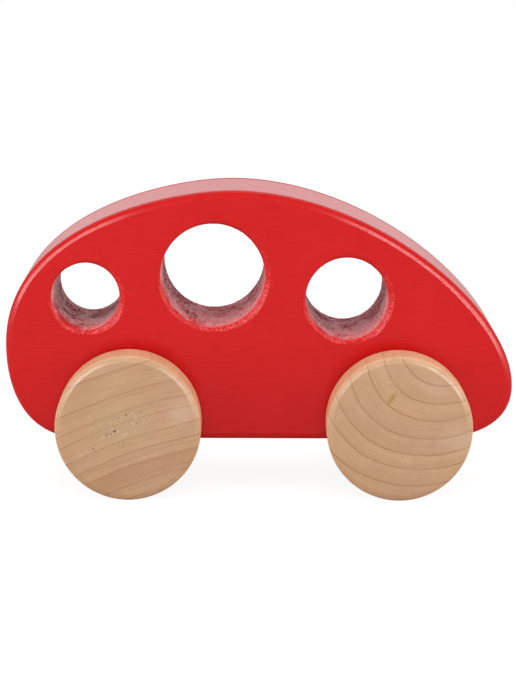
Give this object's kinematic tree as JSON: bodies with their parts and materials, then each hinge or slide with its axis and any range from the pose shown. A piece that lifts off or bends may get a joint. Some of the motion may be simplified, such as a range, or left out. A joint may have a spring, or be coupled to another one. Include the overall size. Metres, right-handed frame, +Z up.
{
  "type": "toy minivan",
  "caption": "Wooden push-along toy minivan: an arched, painted slab body with round windows drilled through it, rolling on plain disc wheels glued to dowel axles.",
  "frame": {"origin": "on the floor under the middle of the body, which is the bottom centre of the whole toy's box", "axes": "+X towards the nose, +Y towards the van's left side, +Z up"},
  "size_m": [0.13, 0.066, 0.0771],
  "materials": {
    "red_paint": "satin",
    "wheel_wood": "matte",
    "dowel_wood": "matte"
  },
  "bodies": {
    "van_body": {"slab_body": "red_paint"},
    "rear_wheelset": {"rear_axle": "dowel_wood", "rear_right_wheel": "wheel_wood", "rear_left_wheel": "wheel_wood"},
    "front_wheelset": {"front_axle": "dowel_wood", "front_right_wheel": "wheel_wood", "front_left_wheel": "wheel_wood"}
  },
  "joints": [
    {"name": "rear_wheels_roll", "type": "hinge", "parent": "van_body", "child": "rear_wheelset", "pos_m": [-0.0332, 0, 0.0185], "axis": [0, 1, 0], "continuous": true},
    {"name": "front_wheels_roll", "type": "hinge", "parent": "van_body", "child": "front_wheelset", "pos_m": [0.0355, 0, 0.0185], "axis": [0, 1, 0], "continuous": true}
  ]
}
